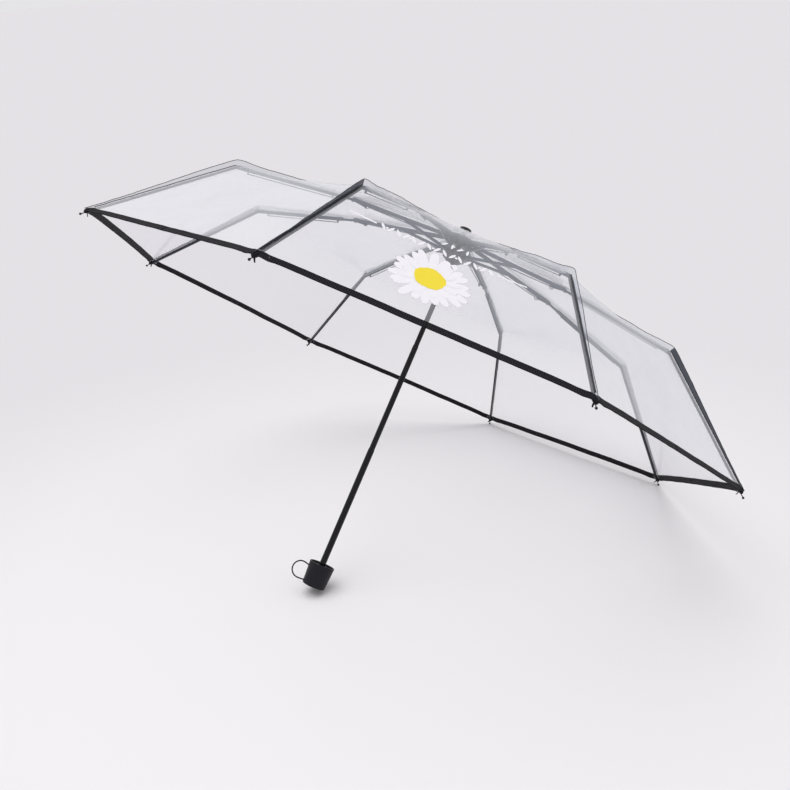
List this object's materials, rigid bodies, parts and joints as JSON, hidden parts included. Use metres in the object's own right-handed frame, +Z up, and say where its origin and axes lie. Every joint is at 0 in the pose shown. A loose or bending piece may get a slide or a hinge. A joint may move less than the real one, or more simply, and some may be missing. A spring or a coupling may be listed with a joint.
{
  "type": "folding umbrella",
  "caption": "Clear-canopy folding umbrella with a telescoping black shaft, folding ribs, sliding runner, short tapered handle and wrist cord.",
  "frame": {"origin": "centre of the handle's flat bottom face", "axes": "+Z up along the shaft from the handle to the ferrule; -Y is the front, the middle of the panel with the flower print; the wrist cord is on the -X side"},
  "size_m": [0.8904, 0.8904, 0.55],
  "materials": {
    "frame_metal": "satin black paint",
    "outer_rib": "black glass-fibre rod",
    "shaft_metal": "gloss black paint",
    "handle_plastic": "fine matt black",
    "hub_plastic": "moulded black",
    "spring_steel": "plain",
    "cord_fabric": "braided",
    "binding_fabric": "ribbed tape",
    "clear_film": "clear film",
    "clear_plastic": "clear moulded"
  },
  "bodies": {
    "handle": {"handle": "handle_plastic", "lower_tube": "shaft_metal", "wrist_cord": "cord_fabric"},
    "middle_tube": {"middle_tube": "shaft_metal"},
    "upper_tube": {"upper_tube": "shaft_metal", "crown": "hub_plastic", "catch_spring": "spring_steel", "ferrule_cap": "hub_plastic", "ferrule_collar": "clear_plastic", "canopy_panel_1": "clear_film", "canopy_panel_2": "clear_film", "canopy_panel_3": "clear_film", "canopy_panel_4": "clear_film", "canopy_panel_5": "clear_film", "canopy_panel_6": "clear_film", "canopy_panel_7": "clear_film", "canopy_panel_8": "clear_film", "edge_binding": "binding_fabric"},
    "runner_catch": {"runner_catch": "hub_plastic"},
    "runner": {"runner": "hub_plastic"},
    "inner_rib_1": {"inner_rib_1": "frame_metal"},
    "stretcher_1": {"stretcher_1": "frame_metal"},
    "drive_rod_1": {"drive_rod_1": "frame_metal"},
    "middle_rib_1": {"middle_rib_1": "frame_metal"},
    "outer_rib_1": {"outer_rib_1": "outer_rib"},
    "inner_rib_2": {"inner_rib_2": "frame_metal"},
    "stretcher_2": {"stretcher_2": "frame_metal"},
    "drive_rod_2": {"drive_rod_2": "frame_metal"},
    "middle_rib_2": {"middle_rib_2": "frame_metal"},
    "outer_rib_2": {"outer_rib_2": "outer_rib"},
    "inner_rib_3": {"inner_rib_3": "frame_metal"},
    "stretcher_3": {"stretcher_3": "frame_metal"},
    "drive_rod_3": {"drive_rod_3": "frame_metal"},
    "middle_rib_3": {"middle_rib_3": "frame_metal"},
    "outer_rib_3": {"outer_rib_3": "outer_rib"},
    "inner_rib_4": {"inner_rib_4": "frame_metal"},
    "stretcher_4": {"stretcher_4": "frame_metal"},
    "drive_rod_4": {"drive_rod_4": "frame_metal"},
    "middle_rib_4": {"middle_rib_4": "frame_metal"},
    "outer_rib_4": {"outer_rib_4": "outer_rib"},
    "inner_rib_5": {"inner_rib_5": "frame_metal"},
    "stretcher_5": {"stretcher_5": "frame_metal"},
    "drive_rod_5": {"drive_rod_5": "frame_metal"},
    "middle_rib_5": {"middle_rib_5": "frame_metal"},
    "outer_rib_5": {"outer_rib_5": "outer_rib"},
    "inner_rib_6": {"inner_rib_6": "frame_metal"},
    "stretcher_6": {"stretcher_6": "frame_metal"},
    "drive_rod_6": {"drive_rod_6": "frame_metal"},
    "middle_rib_6": {"middle_rib_6": "frame_metal"},
    "outer_rib_6": {"outer_rib_6": "outer_rib"},
    "inner_rib_7": {"inner_rib_7": "frame_metal"},
    "stretcher_7": {"stretcher_7": "frame_metal"},
    "drive_rod_7": {"drive_rod_7": "frame_metal"},
    "middle_rib_7": {"middle_rib_7": "frame_metal"},
    "outer_rib_7": {"outer_rib_7": "outer_rib"},
    "inner_rib_8": {"inner_rib_8": "frame_metal"},
    "stretcher_8": {"stretcher_8": "frame_metal"},
    "drive_rod_8": {"drive_rod_8": "frame_metal"},
    "middle_rib_8": {"middle_rib_8": "frame_metal"},
    "outer_rib_8": {"outer_rib_8": "outer_rib"}
  },
  "joints": [
    {"name": "slide_middle_tube", "type": "slide", "parent": "handle", "child": "middle_tube", "axis": [0, 0, -1], "range_m": [0, 0.15]},
    {"name": "slide_upper_tube", "type": "slide", "parent": "middle_tube", "child": "upper_tube", "axis": [0, 0, -1], "range_m": [0, 0.117]},
    {"name": "press_runner_catch", "type": "slide", "parent": "upper_tube", "child": "runner_catch", "axis": [-1, 0, 0], "range_m": [0, 0.0009], "stiffness_N_per_m": 300, "springref_m": -0.0005, "deforming": ["catch_spring"]},
    {"name": "open_close", "type": "hinge", "parent": "upper_tube", "child": "inner_rib_1", "pos_m": [-0.00459, -0.01109, 0.528], "axis": [0.9239, -0.3827, 0], "range_deg": [0, 77], "deforming": ["canopy_panel_1", "canopy_panel_2", "canopy_panel_3", "canopy_panel_4", "canopy_panel_5", "canopy_panel_6", "canopy_panel_7", "canopy_panel_8", "edge_binding"]},
    {"name": "fold_stretcher_1", "type": "hinge", "parent": "inner_rib_1", "child": "stretcher_1", "pos_m": [-0.03498, -0.08445, 0.51825], "axis": [-0.9239, 0.3827, 0], "range_deg": [0, 154.05]},
    {"name": "fold_drive_rod_1", "type": "hinge", "parent": "stretcher_1", "child": "drive_rod_1", "pos_m": [-0.02726, -0.0658, 0.51577], "axis": [0.9239, -0.3827, 0], "range_deg": [0, 154.05]},
    {"name": "fold_middle_1", "type": "hinge", "parent": "inner_rib_1", "child": "middle_rib_1", "pos_m": [-0.06461, -0.15597, 0.50874], "axis": [-0.9239, 0.3827, 0], "range_deg": [0, 164.15]},
    {"name": "fold_outer_1", "type": "hinge", "parent": "middle_rib_1", "child": "outer_rib_1", "pos_m": [-0.12609, -0.30442, 0.4743], "axis": [0.9239, -0.3827, 0], "range_deg": [0, 142.12]},
    {"name": "slide_runner_upright", "type": "hinge", "parent": "stretcher_1", "child": "runner", "pos_m": [-0.00459, -0.01109, 0.5085], "axis": [0.9239, -0.3827, 0], "range_deg": [0, 77.05]},
    {"name": "fold_inner_2", "type": "hinge", "parent": "upper_tube", "child": "inner_rib_2", "pos_m": [0.00459, -0.01109, 0.528], "axis": [0.9239, 0.3827, 0], "range_deg": [0, 77.05]},
    {"name": "fold_stretcher_2", "type": "hinge", "parent": "inner_rib_2", "child": "stretcher_2", "pos_m": [0.03498, -0.08445, 0.51825], "axis": [-0.9239, -0.3827, 0], "range_deg": [0, 154.05]},
    {"name": "fold_drive_rod_2", "type": "hinge", "parent": "stretcher_2", "child": "drive_rod_2", "pos_m": [0.02726, -0.0658, 0.51577], "axis": [0.9239, 0.3827, 0], "range_deg": [0, 154.05]},
    {"name": "fold_middle_2", "type": "hinge", "parent": "inner_rib_2", "child": "middle_rib_2", "pos_m": [0.06461, -0.15597, 0.50874], "axis": [-0.9239, -0.3827, 0], "range_deg": [0, 164.15]},
    {"name": "fold_outer_2", "type": "hinge", "parent": "middle_rib_2", "child": "outer_rib_2", "pos_m": [0.12609, -0.30442, 0.4743], "axis": [0.9239, 0.3827, 0], "range_deg": [0, 142.12]},
    {"name": "fold_inner_3", "type": "hinge", "parent": "upper_tube", "child": "inner_rib_3", "pos_m": [0.01109, -0.00459, 0.528], "axis": [0.3827, 0.9239, 0], "range_deg": [0, 77.05]},
    {"name": "fold_stretcher_3", "type": "hinge", "parent": "inner_rib_3", "child": "stretcher_3", "pos_m": [0.08445, -0.03498, 0.51825], "axis": [-0.3827, -0.9239, 0], "range_deg": [0, 154.05]},
    {"name": "fold_drive_rod_3", "type": "hinge", "parent": "stretcher_3", "child": "drive_rod_3", "pos_m": [0.0658, -0.02726, 0.51577], "axis": [0.3827, 0.9239, 0], "range_deg": [0, 154.05]},
    {"name": "fold_middle_3", "type": "hinge", "parent": "inner_rib_3", "child": "middle_rib_3", "pos_m": [0.15597, -0.06461, 0.50874], "axis": [-0.3827, -0.9239, 0], "range_deg": [0, 164.15]},
    {"name": "fold_outer_3", "type": "hinge", "parent": "middle_rib_3", "child": "outer_rib_3", "pos_m": [0.30442, -0.12609, 0.4743], "axis": [0.3827, 0.9239, 0], "range_deg": [0, 142.12]},
    {"name": "fold_inner_4", "type": "hinge", "parent": "upper_tube", "child": "inner_rib_4", "pos_m": [0.01109, 0.00459, 0.528], "axis": [-0.3827, 0.9239, 0], "range_deg": [0, 77.05]},
    {"name": "fold_stretcher_4", "type": "hinge", "parent": "inner_rib_4", "child": "stretcher_4", "pos_m": [0.08445, 0.03498, 0.51825], "axis": [0.3827, -0.9239, 0], "range_deg": [0, 154.05]},
    {"name": "fold_drive_rod_4", "type": "hinge", "parent": "stretcher_4", "child": "drive_rod_4", "pos_m": [0.0658, 0.02726, 0.51577], "axis": [-0.3827, 0.9239, 0], "range_deg": [0, 154.05]},
    {"name": "fold_middle_4", "type": "hinge", "parent": "inner_rib_4", "child": "middle_rib_4", "pos_m": [0.15597, 0.06461, 0.50874], "axis": [0.3827, -0.9239, 0], "range_deg": [0, 164.15]},
    {"name": "fold_outer_4", "type": "hinge", "parent": "middle_rib_4", "child": "outer_rib_4", "pos_m": [0.30442, 0.12609, 0.4743], "axis": [-0.3827, 0.9239, 0], "range_deg": [0, 142.12]},
    {"name": "fold_inner_5", "type": "hinge", "parent": "upper_tube", "child": "inner_rib_5", "pos_m": [0.00459, 0.01109, 0.528], "axis": [-0.9239, 0.3827, 0], "range_deg": [0, 77.05]},
    {"name": "fold_stretcher_5", "type": "hinge", "parent": "inner_rib_5", "child": "stretcher_5", "pos_m": [0.03498, 0.08445, 0.51825], "axis": [0.9239, -0.3827, 0], "range_deg": [0, 154.05]},
    {"name": "fold_drive_rod_5", "type": "hinge", "parent": "stretcher_5", "child": "drive_rod_5", "pos_m": [0.02726, 0.0658, 0.51577], "axis": [-0.9239, 0.3827, 0], "range_deg": [0, 154.05]},
    {"name": "fold_middle_5", "type": "hinge", "parent": "inner_rib_5", "child": "middle_rib_5", "pos_m": [0.06461, 0.15597, 0.50874], "axis": [0.9239, -0.3827, 0], "range_deg": [0, 164.15]},
    {"name": "fold_outer_5", "type": "hinge", "parent": "middle_rib_5", "child": "outer_rib_5", "pos_m": [0.12609, 0.30442, 0.4743], "axis": [-0.9239, 0.3827, 0], "range_deg": [0, 142.12]},
    {"name": "fold_inner_6", "type": "hinge", "parent": "upper_tube", "child": "inner_rib_6", "pos_m": [-0.00459, 0.01109, 0.528], "axis": [-0.9239, -0.3827, 0], "range_deg": [0, 77.05]},
    {"name": "fold_stretcher_6", "type": "hinge", "parent": "inner_rib_6", "child": "stretcher_6", "pos_m": [-0.03498, 0.08445, 0.51825], "axis": [0.9239, 0.3827, 0], "range_deg": [0, 154.05]},
    {"name": "fold_drive_rod_6", "type": "hinge", "parent": "stretcher_6", "child": "drive_rod_6", "pos_m": [-0.02726, 0.0658, 0.51577], "axis": [-0.9239, -0.3827, 0], "range_deg": [0, 154.05]},
    {"name": "fold_middle_6", "type": "hinge", "parent": "inner_rib_6", "child": "middle_rib_6", "pos_m": [-0.06461, 0.15597, 0.50874], "axis": [0.9239, 0.3827, 0], "range_deg": [0, 164.15]},
    {"name": "fold_outer_6", "type": "hinge", "parent": "middle_rib_6", "child": "outer_rib_6", "pos_m": [-0.12609, 0.30442, 0.4743], "axis": [-0.9239, -0.3827, 0], "range_deg": [0, 142.12]},
    {"name": "fold_inner_7", "type": "hinge", "parent": "upper_tube", "child": "inner_rib_7", "pos_m": [-0.01109, 0.00459, 0.528], "axis": [-0.3827, -0.9239, 0], "range_deg": [0, 77.05]},
    {"name": "fold_stretcher_7", "type": "hinge", "parent": "inner_rib_7", "child": "stretcher_7", "pos_m": [-0.08445, 0.03498, 0.51825], "axis": [0.3827, 0.9239, 0], "range_deg": [0, 154.05]},
    {"name": "fold_drive_rod_7", "type": "hinge", "parent": "stretcher_7", "child": "drive_rod_7", "pos_m": [-0.0658, 0.02726, 0.51577], "axis": [-0.3827, -0.9239, 0], "range_deg": [0, 154.05]},
    {"name": "fold_middle_7", "type": "hinge", "parent": "inner_rib_7", "child": "middle_rib_7", "pos_m": [-0.15597, 0.06461, 0.50874], "axis": [0.3827, 0.9239, 0], "range_deg": [0, 164.15]},
    {"name": "fold_outer_7", "type": "hinge", "parent": "middle_rib_7", "child": "outer_rib_7", "pos_m": [-0.30442, 0.12609, 0.4743], "axis": [-0.3827, -0.9239, 0], "range_deg": [0, 142.12]},
    {"name": "fold_inner_8", "type": "hinge", "parent": "upper_tube", "child": "inner_rib_8", "pos_m": [-0.01109, -0.00459, 0.528], "axis": [0.3827, -0.9239, 0], "range_deg": [0, 77.05]},
    {"name": "fold_stretcher_8", "type": "hinge", "parent": "inner_rib_8", "child": "stretcher_8", "pos_m": [-0.08445, -0.03498, 0.51825], "axis": [-0.3827, 0.9239, 0], "range_deg": [0, 154.05]},
    {"name": "fold_drive_rod_8", "type": "hinge", "parent": "stretcher_8", "child": "drive_rod_8", "pos_m": [-0.0658, -0.02726, 0.51577], "axis": [0.3827, -0.9239, 0], "range_deg": [0, 154.05]},
    {"name": "fold_middle_8", "type": "hinge", "parent": "inner_rib_8", "child": "middle_rib_8", "pos_m": [-0.15597, -0.06461, 0.50874], "axis": [-0.3827, 0.9239, 0], "range_deg": [0, 164.15]},
    {"name": "fold_outer_8", "type": "hinge", "parent": "middle_rib_8", "child": "outer_rib_8", "pos_m": [-0.30442, -0.12609, 0.4743], "axis": [0.3827, -0.9239, 0], "range_deg": [0, 142.12]}
  ],
  "couplings": [
    {"joint": "fold_stretcher_1", "follows": "open_close", "ratio": 2},
    {"joint": "fold_drive_rod_1", "follows": "open_close", "ratio": 2},
    {"joint": "fold_middle_1", "follows": "open_close", "ratio": 2.1312},
    {"joint": "fold_outer_1", "follows": "open_close", "ratio": 1.8451},
    {"joint": "slide_runner_upright", "follows": "open_close", "ratio": 1},
    {"joint": "fold_inner_2", "follows": "open_close", "ratio": 1},
    {"joint": "fold_stretcher_2", "follows": "open_close", "ratio": 2},
    {"joint": "fold_drive_rod_2", "follows": "open_close", "ratio": 2},
    {"joint": "fold_middle_2", "follows": "open_close", "ratio": 2.1312},
    {"joint": "fold_outer_2", "follows": "open_close", "ratio": 1.8451},
    {"joint": "fold_inner_3", "follows": "open_close", "ratio": 1},
    {"joint": "fold_stretcher_3", "follows": "open_close", "ratio": 2},
    {"joint": "fold_drive_rod_3", "follows": "open_close", "ratio": 2},
    {"joint": "fold_middle_3", "follows": "open_close", "ratio": 2.1312},
    {"joint": "fold_outer_3", "follows": "open_close", "ratio": 1.8451},
    {"joint": "fold_inner_4", "follows": "open_close", "ratio": 1},
    {"joint": "fold_stretcher_4", "follows": "open_close", "ratio": 2},
    {"joint": "fold_drive_rod_4", "follows": "open_close", "ratio": 2},
    {"joint": "fold_middle_4", "follows": "open_close", "ratio": 2.1312},
    {"joint": "fold_outer_4", "follows": "open_close", "ratio": 1.8451},
    {"joint": "fold_inner_5", "follows": "open_close", "ratio": 1},
    {"joint": "fold_stretcher_5", "follows": "open_close", "ratio": 2},
    {"joint": "fold_drive_rod_5", "follows": "open_close", "ratio": 2},
    {"joint": "fold_middle_5", "follows": "open_close", "ratio": 2.1312},
    {"joint": "fold_outer_5", "follows": "open_close", "ratio": 1.8451},
    {"joint": "fold_inner_6", "follows": "open_close", "ratio": 1},
    {"joint": "fold_stretcher_6", "follows": "open_close", "ratio": 2},
    {"joint": "fold_drive_rod_6", "follows": "open_close", "ratio": 2},
    {"joint": "fold_middle_6", "follows": "open_close", "ratio": 2.1312},
    {"joint": "fold_outer_6", "follows": "open_close", "ratio": 1.8451},
    {"joint": "fold_inner_7", "follows": "open_close", "ratio": 1},
    {"joint": "fold_stretcher_7", "follows": "open_close", "ratio": 2},
    {"joint": "fold_drive_rod_7", "follows": "open_close", "ratio": 2},
    {"joint": "fold_middle_7", "follows": "open_close", "ratio": 2.1312},
    {"joint": "fold_outer_7", "follows": "open_close", "ratio": 1.8451},
    {"joint": "fold_inner_8", "follows": "open_close", "ratio": 1},
    {"joint": "fold_stretcher_8", "follows": "open_close", "ratio": 2},
    {"joint": "fold_drive_rod_8", "follows": "open_close", "ratio": 2},
    {"joint": "fold_middle_8", "follows": "open_close", "ratio": 2.1312},
    {"joint": "fold_outer_8", "follows": "open_close", "ratio": 1.8451}
  ]
}
